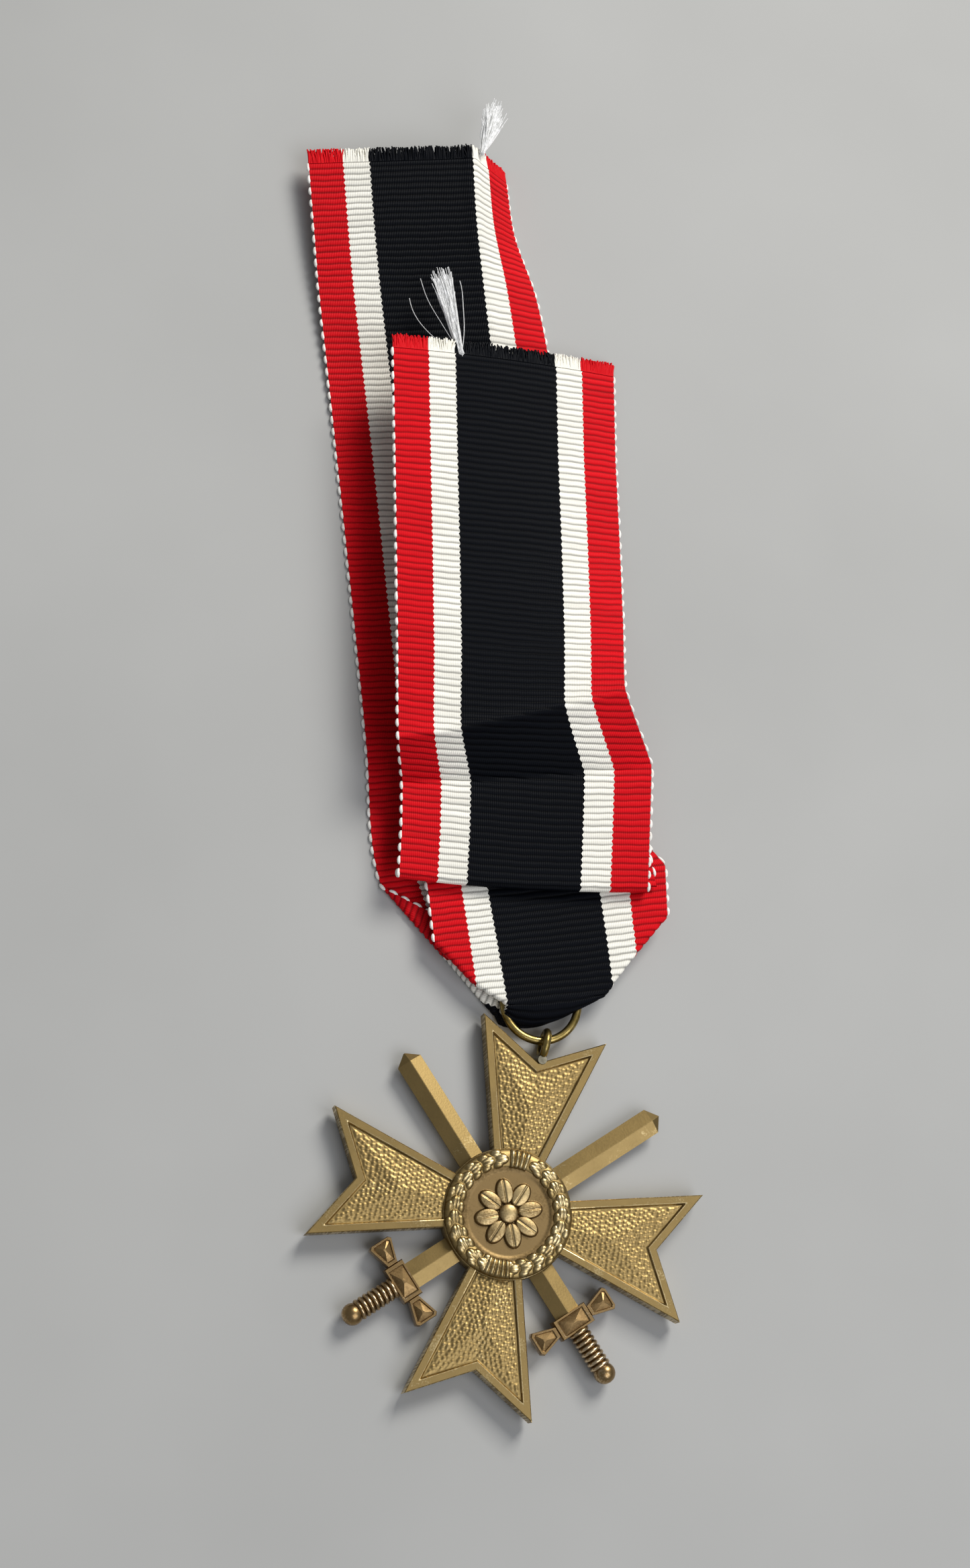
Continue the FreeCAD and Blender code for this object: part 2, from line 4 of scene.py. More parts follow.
import bmesh
import bpy
import numpy as np
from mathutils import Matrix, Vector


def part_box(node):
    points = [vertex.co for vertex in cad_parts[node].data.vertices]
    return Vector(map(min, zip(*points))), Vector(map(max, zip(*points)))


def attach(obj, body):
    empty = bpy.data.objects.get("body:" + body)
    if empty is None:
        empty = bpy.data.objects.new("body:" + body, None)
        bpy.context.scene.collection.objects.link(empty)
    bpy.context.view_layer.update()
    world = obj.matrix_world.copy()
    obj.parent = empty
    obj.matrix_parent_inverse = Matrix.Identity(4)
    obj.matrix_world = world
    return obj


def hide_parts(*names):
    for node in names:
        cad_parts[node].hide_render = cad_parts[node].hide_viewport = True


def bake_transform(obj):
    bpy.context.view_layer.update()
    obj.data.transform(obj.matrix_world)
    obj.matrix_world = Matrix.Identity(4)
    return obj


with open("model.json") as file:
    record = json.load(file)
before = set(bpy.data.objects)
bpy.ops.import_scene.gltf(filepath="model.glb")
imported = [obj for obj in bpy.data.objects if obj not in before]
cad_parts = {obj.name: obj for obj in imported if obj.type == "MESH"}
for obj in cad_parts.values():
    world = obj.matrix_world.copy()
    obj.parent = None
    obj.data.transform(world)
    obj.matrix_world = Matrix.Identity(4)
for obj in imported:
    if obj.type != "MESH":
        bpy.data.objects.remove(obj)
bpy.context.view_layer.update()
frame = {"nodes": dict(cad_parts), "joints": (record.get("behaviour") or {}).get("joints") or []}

MM = 0.001
chance = np.random.default_rng(7)

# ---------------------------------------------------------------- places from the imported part


def middle(name):
    """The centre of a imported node, in millimetres."""
    low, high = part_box(name)
    return np.array([(a + b) / 2 / MM for a, b in zip(low, high)])


joint = {j["name"]: j for j in frame["joints"]}
centre = middle("centre_disc")
centre[2] = 0
swing = joint["cross_swing"]["axis"]
cross_turn = -math.atan2(swing[1], -swing[0])
plate_low, plate_high = (z / MM for z in (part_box("cross_plate")[0][2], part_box("cross_plate")[1][2]))
sword_level = middle("sword_point_left")[2]


def turned(x, y):
    """Cross-wise numbers turned to lie as the cross does on the table."""
    c, s = math.cos(cross_turn), math.sin(cross_turn)
    return c * x - s * y, s * x + c * y


# ---------------------------------------------------------------- meshes


def make_mesh(name, points, faces, material, smooth_angle=40, floats=None, uv=None, marks=None):
    """A mesh from points in millimetres round the cross's centre, with its finish."""
    mesh = bpy.data.meshes.new(name)
    mesh.from_pydata(((np.asarray(points) + centre) * MM).tolist(), [], faces)
    for key, values in (floats or {}).items():
        mesh.attributes.new(key, "FLOAT", "POINT").data.foreach_set("value", np.asarray(values, np.float32))
    if uv is not None:
        corner = np.empty(len(mesh.loops), np.int32)
        mesh.loops.foreach_get("vertex_index", corner)
        mesh.uv_layers.new(name="cloth").data.foreach_set("uv", np.asarray(uv, np.float32)[corner].ravel())
    for finish in material if isinstance(material, list) else [material]:
        mesh.materials.append(finish)
    if marks is not None:
        mesh.polygons.foreach_set("material_index", np.asarray(marks, np.int32))
    shape = bmesh.new()
    shape.from_mesh(mesh)
    bmesh.ops.remove_doubles(shape, verts=shape.verts, dist=0.0002 * MM)
    shape.to_mesh(mesh)
    shape.free()
    mesh.shade_smooth()
    mesh.set_sharp_from_angle(angle=math.radians(smooth_angle))
    mesh.update()
    piece = bpy.data.objects.new(name, mesh)
    bpy.context.scene.collection.objects.link(piece)
    return piece


def grid_faces(rows, columns, start=0, around=False, flip=False):
    """Four-sided faces over a grid of points, closed round its columns if asked."""
    r, c = np.meshgrid(np.arange(rows - 1), np.arange(columns if around else columns - 1), indexing="ij")
    n = (c + 1) % columns
    quads = np.stack([r * columns + c, r * columns + n, (r + 1) * columns + n, (r + 1) * columns + c], -1)
    quads = quads.reshape(-1, 4) + start
    return (quads[:, ::-1] if flip else quads).tolist()


class Solid:
    """Gathers the grids of one piece."""

    def __init__(self):
        self.points, self.faces, self.raised, self.cloth, self.marks, self.count = [], [], [], [], [], 0

    def grid(self, points, around=False, flip=False, raised=0.6, cloth=(0, 0), mark=0):
        rows, columns = points.shape[:2]
        faces = grid_faces(rows, columns, self.count, around, flip)
        self.points.append(points.reshape(-1, 3))
        self.raised.append(np.broadcast_to(raised, (rows, columns)).ravel())
        self.cloth.append(np.broadcast_to(cloth, (rows, columns, 2)).reshape(-1, 2))
        self.faces += faces
        self.marks += [mark] * len(faces)
        self.count += rows * columns

    def facets(self, points, faces, raised=0.6):
        self.points.append(np.asarray(points, float))
        self.raised.append(np.broadcast_to(raised, len(points)))
        self.cloth.append(np.zeros((len(points), 2)))
        self.faces += [[i + self.count for i in f] for f in faces]
        self.marks += [0] * len(faces)
        self.count += len(points)

    def make(self, name, material, smooth_angle=40):
        return make_mesh(
            name,
            np.concatenate(self.points),
            self.faces,
            material,
            smooth_angle,
            {"raised": np.concatenate(self.raised)},
            np.concatenate(self.cloth),
            self.marks,
        )


def ease(t):
    """Nought to one with a soft start and end."""
    t = np.clip(t, 0, 1)
    return t * t * (3 - 2 * t)


def through(stations, at):
    """Values on a smooth line through stations, whose first number is the length along."""
    stations = np.asarray(stations, float)
    t, y = stations[:, 0], stations[:, 1:]
    slope = np.gradient(y, t, axis=0)
    i = np.clip(np.searchsorted(t, at) - 1, 0, len(t) - 2)
    h = (t[i + 1] - t[i])[:, None]
    s = ((at - t[i]) / (t[i + 1] - t[i]))[:, None]
    return (
        (2 * s**3 - 3 * s**2 + 1) * y[i]
        + (s**3 - 2 * s**2 + s) * h * slope[i]
        + (3 * s**2 - 2 * s**3) * y[i + 1]
        + (s**3 - s**2) * h * slope[i + 1]
    )


def tube(line, radii, sides=6):
    """Rings of points round a line of points."""
    line = np.asarray(line, float)
    ahead = np.gradient(line, axis=0)
    ahead /= np.linalg.norm(ahead, axis=1)[:, None] + 1e-9
    across = np.cross(ahead, [0.13, 0.21, 0.97])
    across /= np.linalg.norm(across, axis=1)[:, None] + 1e-9
    other = np.cross(ahead, across)
    turn = np.linspace(0, 2 * math.pi, sides, endpoint=False)
    ring = across[:, None] * np.cos(turn)[None, :, None] + other[:, None] * np.sin(turn)[None, :, None]
    return line[:, None] + ring * np.broadcast_to(radii, len(line))[:, None, None]


# ---------------------------------------------------------------- finishes


def linear(hex_colour):
    """An sRGB hex colour as the linear numbers Blender wants."""
    parts = [int(hex_colour[i : i + 2], 16) / 255 for i in (1, 3, 5)]
    return tuple(p / 12.92 if p <= 0.04045 else ((p + 0.055) / 1.055) ** 2.4 for p in parts) + (1.0,)


def node(tree, kind, settings=None, sockets=None):
    """One shader node with its settings, values and links."""
    made = tree.nodes.new("ShaderNode" + kind)
    for key, value in (settings or {}).items():
        setattr(made, key, value)
    for key, value in (sockets or {}).items():
        if isinstance(value, bpy.types.NodeSocket):
            tree.links.new(value, made.inputs[key])
        else:
            made.inputs[key].default_value = value
    return made


def stops(ramp, *pairs, hard=False):
    """Sets a colour ramp's stops."""
    band = ramp.color_ramp
    band.interpolation = "CONSTANT" if hard else "LINEAR"
    while len(band.elements) < len(pairs):
        band.elements.new(0.5)
    for element, (place, colour) in zip(band.elements, pairs):
        element.position = place
        element.color = linear(colour)
    return ramp.outputs["Color"]


def new_material(name):
    material = bpy.data.materials.new(name)
    material.use_nodes = True
    return material, material.node_tree, material.node_tree.nodes["Principled BSDF"]


def old_bronze(name, deep, body, worn_and_highlit, rough):
    """Tombac bronze, struck in a die and left bare: brown patina with painted shade in the hollows, rubbed
    metal with a painted highlight on the raised parts.
    """
    material, tree, shader = new_material(name)
    place = node(tree, "TexCoord").outputs["Object"]
    raised = node(tree, "Attribute", {"attribute_name": "raised"}).outputs["Fac"]
    # cloudy tarnish, patches of about 4 mm
    cloud = node(tree, "TexNoise", sockets={"Vector": place, "Scale": 1 / (4 * MM), "Detail": 5.0})
    # fine grain of the struck skin, 0.25 mm, drawn coarse enough to show
    grain = node(tree, "TexNoise", sockets={"Vector": place, "Scale": 1 / (0.25 * MM), "Detail": 3.0})
    mixed = node(tree, "MapRange", sockets={"Value": cloud.outputs["Fac"], "From Min": 0.3, "From Max": 0.7,
                                            "To Min": -0.16, "To Max": 0.16})
    level = node(tree, "Math", {"operation": "ADD"}, {0: raised, 1: mixed.outputs["Result"]})
    speck = node(tree, "MapRange", sockets={"Value": grain.outputs["Fac"], "From Min": 0.3, "From Max": 0.7,
                                            "To Min": -0.1, "To Max": 0.1})
    level = node(tree, "Math", {"operation": "ADD", "use_clamp": True},
                 {0: level.outputs[0], 1: speck.outputs["Result"]})
    # the lowest places take the deep colour (patina with painted shade), the highest the pale one (rubbed metal
    # with a painted highlight)
    colour = stops(node(tree, "ValToRGB", sockets={"Fac": level.outputs[0]}),
                   (0.0, deep), (0.45, body), (0.75, body), (1.0, worn_and_highlit))
    gloss = node(tree, "MapRange", sockets={"Value": level.outputs[0],
                                            "To Min": rough + 0.16, "To Max": rough - 0.1})
    bump = node(tree, "Bump", sockets={"Strength": 0.25, "Distance": 0.03 * MM,
                                       "Height": grain.outputs["Fac"]})
    tree.links.new(colour, shader.inputs["Base Color"])
    tree.links.new(gloss.outputs["Result"], shader.inputs["Roughness"])
    tree.links.new(bump.outputs["Normal"], shader.inputs["Normal"])
    shader.inputs["Metallic"].default_value = 1.0
    return material


def drawn_metal(name, dull, bright, rough, grain_mm):
    """Metal with a plain worn skin, such as drawn wire or a bead of solder."""
    material, tree, shader = new_material(name)
    place = node(tree, "TexCoord").outputs["Object"]
    cloud = node(tree, "TexNoise", sockets={"Vector": place, "Scale": 1 / (1.2 * MM), "Detail": 4.0})
    grain = node(tree, "TexNoise", sockets={"Vector": place, "Scale": 1 / (grain_mm * MM), "Detail": 3.0})
    colour = stops(node(tree, "ValToRGB", sockets={"Fac": cloud.outputs["Fac"]}),
                   (0.35, dull), (0.65, bright))
    gloss = node(tree, "MapRange", sockets={"Value": cloud.outputs["Fac"], "From Min": 0.3, "From Max": 0.7,
                                            "To Min": rough + 0.08, "To Max": rough - 0.06})
    bump = node(tree, "Bump", sockets={"Strength": 0.3, "Distance": 0.03 * MM,
                                       "Height": grain.outputs["Fac"]})
    tree.links.new(colour, shader.inputs["Base Color"])
    tree.links.new(gloss.outputs["Result"], shader.inputs["Roughness"])
    tree.links.new(bump.outputs["Normal"], shader.inputs["Normal"])
    shader.inputs["Metallic"].default_value = 1.0
    return material


RIBBON_WIDTH = 31.4
STRIPES = ((0.0, "#CC0E19"), (4.8, "#EEEBE0"), (8.5, "#04060C"), (22.9, "#EEEBE0"), (26.7, "#CC0E19"))
RIB = 0.85


def ribbon_cloth():
    """Rayon ribbon woven with heavy ribs across it: a painted highlight on the rib tops, painted shade in the
    grooves, dyed stripes.
    """
    material, tree, shader = new_material("rayon_ribbon_rib_woven")
    cloth_map = node(tree, "UVMap", {"uv_map": "cloth"})
    split = node(tree, "SeparateXYZ", sockets={"Vector": cloth_map.outputs[0]})
    across, along = split.outputs[0], split.outputs[1]
    # warp threads 0.24 mm apart make a tiny zigzag at each stripe's edge
    zigzag = node(tree, "Math", {"operation": "PINGPONG"}, {0: along, 1: RIB / 2})
    stepped = node(tree, "Math", {"operation": "MULTIPLY_ADD"}, {0: zigzag.outputs[0], 1: 0.6, 2: across})
    share = node(tree, "Math", {"operation": "DIVIDE"}, {0: stepped.outputs[0], 1: RIBBON_WIDTH})
    dye = stops(node(tree, "ValToRGB", sockets={"Fac": share.outputs[0]}),
                *((u / RIBBON_WIDTH, c) for u, c in STRIPES), hard=True)
    # painted shade and highlight of the ribs: the dye is dimmed to 0.4 in each groove and lifted to 1.06 on
    # each rib top
    painted_rib_shading = node(tree, "MapRange", sockets={"Value": zigzag.outputs[0],
                                              "From Min": 0.0, "From Max": RIB / 4,
                                              "To Min": 0.4, "To Max": 1.06})
    # each weft row takes the dye a little differently
    drawn_out = node(tree, "Math", {"operation": "MULTIPLY"}, {0: across, 1: 0.06})
    rows = node(tree, "CombineXYZ", sockets={"X": drawn_out.outputs[0], "Y": along})
    uneven = node(tree, "TexNoise", sockets={"Vector": rows.outputs[0], "Scale": 1.3, "Detail": 3.0})
    tint = node(tree, "MapRange", sockets={"Value": uneven.outputs["Fac"], "From Min": 0.3, "From Max": 0.7,
                                           "To Min": 0.86, "To Max": 1.12})
    # the ribs' painted shade and highlight times the weft rows' uneven dye
    painted_shade_and_dye_tint = node(tree, "Math", {"operation": "MULTIPLY"}, {0: painted_rib_shading.outputs[0], 1: tint.outputs[0]})
    colour = node(tree, "VectorMath", {"operation": "SCALE"}, {0: dye, "Scale": painted_shade_and_dye_tint.outputs[0]})
    # threads across each rib, 0.24 mm apart
    beads = node(tree, "Math", {"operation": "PINGPONG"}, {0: across, 1: 0.12})
    beads_high = node(tree, "Math", {"operation": "MULTIPLY"}, {0: beads.outputs[0], 1: 8.0})
    bump = node(tree, "Bump", sockets={"Strength": 0.7, "Distance": 0.05 * MM, "Height": beads_high.outputs[0]})
    tree.links.new(colour.outputs[0], shader.inputs["Base Color"])
    tree.links.new(bump.outputs["Normal"], shader.inputs["Normal"])
    shader.inputs["Roughness"].default_value = 0.5
    shader.inputs["Specular IOR Level"].default_value = 0.07
    return material


def thread(name, shade_side, light_side, gloss):
    """Bare rayon or silk thread: near white, with a soft shine along the fibres."""
    material, tree, shader = new_material(name)
    place = node(tree, "TexCoord").outputs["Object"]
    fibre = node(tree, "TexNoise", sockets={"Vector": place, "Scale": 1 / (0.5 * MM), "Detail": 3.0})
    colour = stops(node(tree, "ValToRGB", sockets={"Fac": fibre.outputs["Fac"]}),
                   (0.35, shade_side), (0.65, light_side))
    tree.links.new(colour, shader.inputs["Base Color"])
    shader.inputs["Roughness"].default_value = gloss
    shader.inputs["Sheen Weight"].default_value = 0.2
    return material


def table_top():
    """Plain pale grey laminate: an even matt ground."""
    material, tree, shader = new_material("laminate_matt_grey")
    place = node(tree, "TexCoord").outputs["Object"]
    cloud = node(tree, "TexNoise", sockets={"Vector": place, "Scale": 14.0, "Detail": 4.0})
    colour = stops(node(tree, "ValToRGB", sockets={"Fac": cloud.outputs["Fac"]}),
                   (0.3, "#A2A2A0"), (0.7, "#ABABA9"))
    tree.links.new(colour, shader.inputs["Base Color"])
    shader.inputs["Roughness"].default_value = 0.6
    return material


bronze = old_bronze("tombac_bronze_struck", "#3B2E14", "#927C50", "#D9C494", 0.4)
bronze_disc = old_bronze("tombac_bronze_struck_brown", "#392B15", "#846E4A", "#C6AE7E", 0.43)
bronze_hilt = old_bronze("tombac_bronze_struck_coppery", "#3D2B18", "#927851", "#DCC4A0", 0.34)
brass = drawn_metal("brass_drawn_wire", "#6F6034", "#A8935A", 0.3, 0.2)
solder = drawn_metal("tin_solder_melted", "#6E6A5C", "#A09A88", 0.42, 0.3)
cloth = ribbon_cloth()
picot_thread = thread("rayon_picot_thread_twisted", "#DDD9D0", "#FBF9F4", 0.45)
silk = thread("silk_floss_frayed", "#E2E2E0", "#FFFFFF", 0.38)

# ---------------------------------------------------------------- the cross

TIP, TIP_HALF, NOTCH, RIM, SINK = 24.0, 8.09, 19.42, 0.92, 0.3
SIDE_SLOPE, PEBBLE = 0.284, 0.58
# the pebbles' offsets repeat after this many
JITTERS = 97
jitter = chance.random((JITTERS, JITTERS, 2))


def pebbles(x, y):
    """Height, nought to one, of close rounded bumps scattered over a surface."""
    nearest = np.full(x.shape, 9.0)
    i, j = np.floor(x / PEBBLE).astype(int), np.floor(y / PEBBLE).astype(int)
    for dj in (-1, 0, 1):
        # every second row is set half a step along
        half_step = 0.5 * ((j + dj) % 2)
        for di in (-2, -1, 0, 1):
            spot = jitter[(i + di) % JITTERS, (j + dj) % JITTERS]
            dx = (i + di + half_step + 0.24 + 0.52 * spot[..., 0]) * PEBBLE - x
            dy = (j + dj + 0.24 + 0.52 * spot[..., 1]) * PEBBLE - y
            nearest = np.minimum(nearest, np.hypot(dx, dy))
    return ease(1.1 - nearest / (0.66 * PEBBLE))


def arm_face():
    """One arm's face, seen as if it points up: its places, its height under the rim and how raised it is."""
    q = np.concatenate([np.linspace(-1, -0.86, 9)[:-1], np.linspace(-0.86, 0.86, 121),
                        np.linspace(0.86, 1, 9)[1:]])
    p = np.concatenate([np.linspace(0, 0.9, 118), np.linspace(0.9, 1, 9)[1:]])
    q, p = np.meshgrid(q, p)
    side, end = math.cos(math.atan(SIDE_SLOPE)), math.cos(math.atan((TIP - NOTCH) / TIP_HALF))
    inner = 6.4
    y = inner + p * 12
    for _ in range(12):
        half = 1.28 + SIDE_SLOPE * y
        field_half = half - RIM / side
        across = np.abs(q)
        x = np.where(across <= 0.86, across / 0.86 * field_half,
                     field_half + (across - 0.86) / 0.14 * (half - field_half))
        outer_end = NOTCH + (TIP - NOTCH) * x / TIP_HALF
        field_end = outer_end - RIM / end
        y = np.where(p <= 0.9, inner + p / 0.9 * (field_end - inner),
                     field_end + (p - 0.9) / 0.1 * (outer_end - field_end))
    depth = np.minimum((field_half - x) * side, (field_end - y) * end)
    x = x * np.sign(q)
    bumps = pebbles(x + 31, y)
    wall = ease(depth / 0.22)
    field = wall * (-SINK - 0.03 * np.exp(-(((depth - 0.3) / 0.16) ** 2)))
    height = field + 0.42 * ease(depth / 6.0) + ease((depth - 0.25) / 0.3) * 0.09 * (bumps - 0.35)
    edge = (np.abs(q) == 1) | (p == 1)
    height = np.where(edge, -0.13, height)
    # how pale each place is painted: rims and outer edges palest and pebble tops paler than their valleys,
    # rubbed metal with a painted highlight, the low places darker with painted shade
    raised = np.where(depth > 0, 0.42 + 0.26 * bumps * ease((depth - 0.2) / 0.3), 0.66)
    raised = np.where((depth > 0.02) & (depth < 0.3), 0.42, raised)
    raised = np.where(edge | (np.abs(depth) < 0.1), 1.0, raised)
    return x, y, height, raised


def cross_body():
    """The cross: four arms with raised rims round a pebbled field, and the round hub."""
    solid = Solid()
    x, y, height, raised = arm_face()
    for k in range(4):
        c, s = math.cos(k * math.pi / 2), math.sin(k * math.pi / 2)
        px, py = turned(c * x - s * y, s * x + c * y)
        top = np.stack([px, py, plate_high + height], -1)
        low = np.stack([px, py, plate_low - height], -1)
        solid.grid(top, raised=raised)
        solid.grid(low, raised=raised, flip=True)
        for edge, flip in ((np.s_[:, 0], True), (np.s_[:, -1], False), (np.s_[-1, :], True)):
            solid.grid(np.stack([top[edge], low[edge]]), raised=0.6, flip=flip)
    radius = np.array([0, 7.9, 8.1, 8.2, 8.2, 8.1, 7.9, 0])
    level = np.array([0, 0, -0.04, -0.16, 0, 0, 0, 0.0]) + plate_high
    level[4:] = plate_low + np.array([0.16, 0.04, 0, 0])
    # the hub's rounded rim painted pale and its flat faces darker: rubbed metal with a painted highlight,
    # patina with painted shade
    hub_raised = np.array([0.3, 0.5, 0.8, 0.6, 0.4, 0.8, 0.5, 0.3])[:, None]
    solid.grid(lathe(radius, level), around=True, raised=hub_raised)
    return solid.make("cross_struck", bronze)


def lathe(radius, level, segments=192):
    """A profile turned round the cross's centre."""
    turn = np.linspace(0, 2 * math.pi, segments, endpoint=False)
    return np.stack([radius[:, None] * np.cos(turn), radius[:, None] * np.sin(turn),
                     np.repeat(level[:, None], segments, 1)], -1)


WREATH_IN, WREATH_OUT, BAND_PITCH = 5.6, 8.05, 0.6


def wreath(name, base, rise):
    """A ring of overlapping oak leaves, bound at the top and bottom."""
    turn = np.linspace(0, 2 * math.pi, 1080, endpoint=False)
    r = np.linspace(WREATH_IN, WREATH_OUT, 42)[:, None]
    mid, half = (WREATH_IN + WREATH_OUT) / 2, (WREATH_OUT - WREATH_IN) / 2
    off = (r - mid) / half
    roll = np.sqrt(np.clip(1 - off**2, 0, 1))
    height = 0.62 * roll**0.8 + 0 * turn
    for side in (-1, 1):
        # how far each place is round this side, from the bottom tie up to the top one, in millimetres
        up = ((turn + math.pi / 2) * side + math.pi) % (2 * math.pi) - math.pi
        arc = up * mid
        for k in range(11):
            start = 1.75 + k * 1.72
            for lane, back, tall, wide, long in ((0, 0.0, 0.46, 0.72, 1.02), (-0.66, -0.5, 0.34, 0.56, 0.8),
                                                 (0.7, -0.5, 0.34, 0.56, 0.84)):
                skew = chance.uniform(-0.1, 0.1)
                a = (arc - start - back + skew) * r / mid / long
                b = (r - mid - lane - skew) / wide
                leaf = 1 - a**2 - b**2
                vein = 0.09 * np.exp(-((b / 0.2) ** 2)) * (lane == 0)
                shape = np.where(leaf > 0, tall + 0.2 * a + 0.44 * np.clip(leaf, 0, 1) ** 0.6 - vein, 0)
                height = np.maximum(height, shape)
    for place, count in ((-math.pi / 2, 5), (math.pi / 2, 4)):
        d = (turn - place + math.pi) % (2 * math.pi) - math.pi
        arc = d * mid
        wide = count * BAND_PITCH / 2
        start = 0 if count % 2 else math.pi / 2
        bands = (0.8 + 0.22 * np.abs(np.cos(arc / BAND_PITCH * math.pi + start))) * roll**0.5
        height = np.where(np.abs(arc) < wide, bands, height)
    height *= rise / max(height.max(), 1e-6)
    raised = 0.5 + 0 * height
    if rise > 0:
        # on the front, taller leaves painted paler and the low ground between them darker: rubbed metal with a
        # painted highlight, patina with painted shade
        raised = 0.34 + 0.58 * ease((height - 0.2 * rise) / (0.72 * rise))
    a = turn + cross_turn
    points = np.stack([r * np.cos(a), r * np.sin(a), base + height], -1)
    solid = Solid()
    solid.grid(points, around=True, flip=rise > 0, raised=raised)
    foot = points[[-1, 0]].copy()
    foot[..., 2] = base
    # the wreath's inner wall and foot painted darker than its leaves: painted shade
    solid.grid(np.stack([points[-1], foot[0]]), around=True, flip=rise > 0, raised=0.5)
    solid.grid(np.stack([foot[1], points[0]]), around=True, flip=rise > 0, raised=0.4)
    solid.grid(foot, around=True, flip=rise > 0, raised=0.2)
    return solid.make(name, bronze, 60)


PETAL_AT, PETAL_LONG, PETAL_WIDE = 2.75, 1.65, 1.12


def centre_face(name, base, rise, with_rosette):
    """The round centre: a smooth field, with a plain eight-petalled rosette on the front."""
    turn = np.linspace(0, 2 * math.pi, 480, endpoint=False)
    r = np.concatenate([np.linspace(0.001, 4.9, 98), np.linspace(5.0, 5.8, 9)])[:, None]
    sign = 1 if rise > 0 else -1
    height = 0.3 + 0.1 * ease((r - 5.1) / 0.5) + 0 * turn
    # the field painted darker towards its edge, where the wreath stands up round it: patina with painted shade
    raised = 0.5 - 0.2 * ease((r - 4.9) / 0.7) + 0 * turn
    if with_rosette:
        for k in range(8):
            d = (turn - math.radians(22.5 + 45 * k) + math.pi) % (2 * math.pi) - math.pi
            a, b = r * np.cos(d), r * np.sin(d)
            leaf = 1 - ((a - PETAL_AT) / PETAL_LONG) ** 2 - (b / PETAL_WIDE) ** 2
            dome = 0.3 + 0.36 * np.clip(leaf * 4, 0, 1) ** 0.6 + 0.14 * leaf - 0.12 * np.exp(-((b / 0.12) ** 2))
            on = (leaf > 0) & (np.cos(d) > 0)
            height = np.where(on, np.maximum(height, dome), height)
            # petals painted paler towards their middles: rubbed metal with a painted highlight
            raised = np.where(on, np.clip(0.4 + 1.2 * leaf, 0, 0.9), raised)
        boss = np.sqrt(np.clip(1 - (r / 1.2) ** 2, 0, 1)) + 0 * turn
        height = np.where(boss > 0, np.maximum(height, 0.55 + 0.3 * boss), height)
        raised = np.where(boss > 0, 0.45 + 0.5 * boss, raised)
    a = turn + cross_turn
    points = np.stack([r * np.cos(a), r * np.sin(a), base + sign * height], -1)
    solid = Solid()
    solid.grid(points, around=True, flip=rise > 0, raised=raised)
    return solid.make(name, bronze_disc, 60)


# ---------------------------------------------------------------- the swords

POMMEL_AT, POMMEL_RADIUS = 22.75, 1.35

def hipped(outline, wall, rim, top, inset):
    """A block with walls, a raised rim and a ridged middle, the same above and below."""
    outline = np.asarray(outline, float)
    mid = outline.mean(0)
    ridge = mid + (outline - mid) * 0.12
    n = len(outline)
    half = [(wall, outline), (rim, mid + (outline - mid) * 0.94), (rim, mid + (outline - mid) * (1 - inset)),
            (rim - 0.14, mid + (outline - mid) * (0.93 - inset)), (top, ridge)]
    rings = [(-z, ring) for z, ring in half[::-1]] + half
    points = [(*p, z) for z, ring in rings for p in ring]
    last = len(rings) - 1
    faces = [list(range(n))[::-1], list(range(last * n, last * n + n))]
    for k in range(last):
        faces += [[k * n + i, k * n + (i + 1) % n, (k + 1) * n + (i + 1) % n, (k + 1) * n + i]
                  for i in range(n)]
    return np.array(points), faces


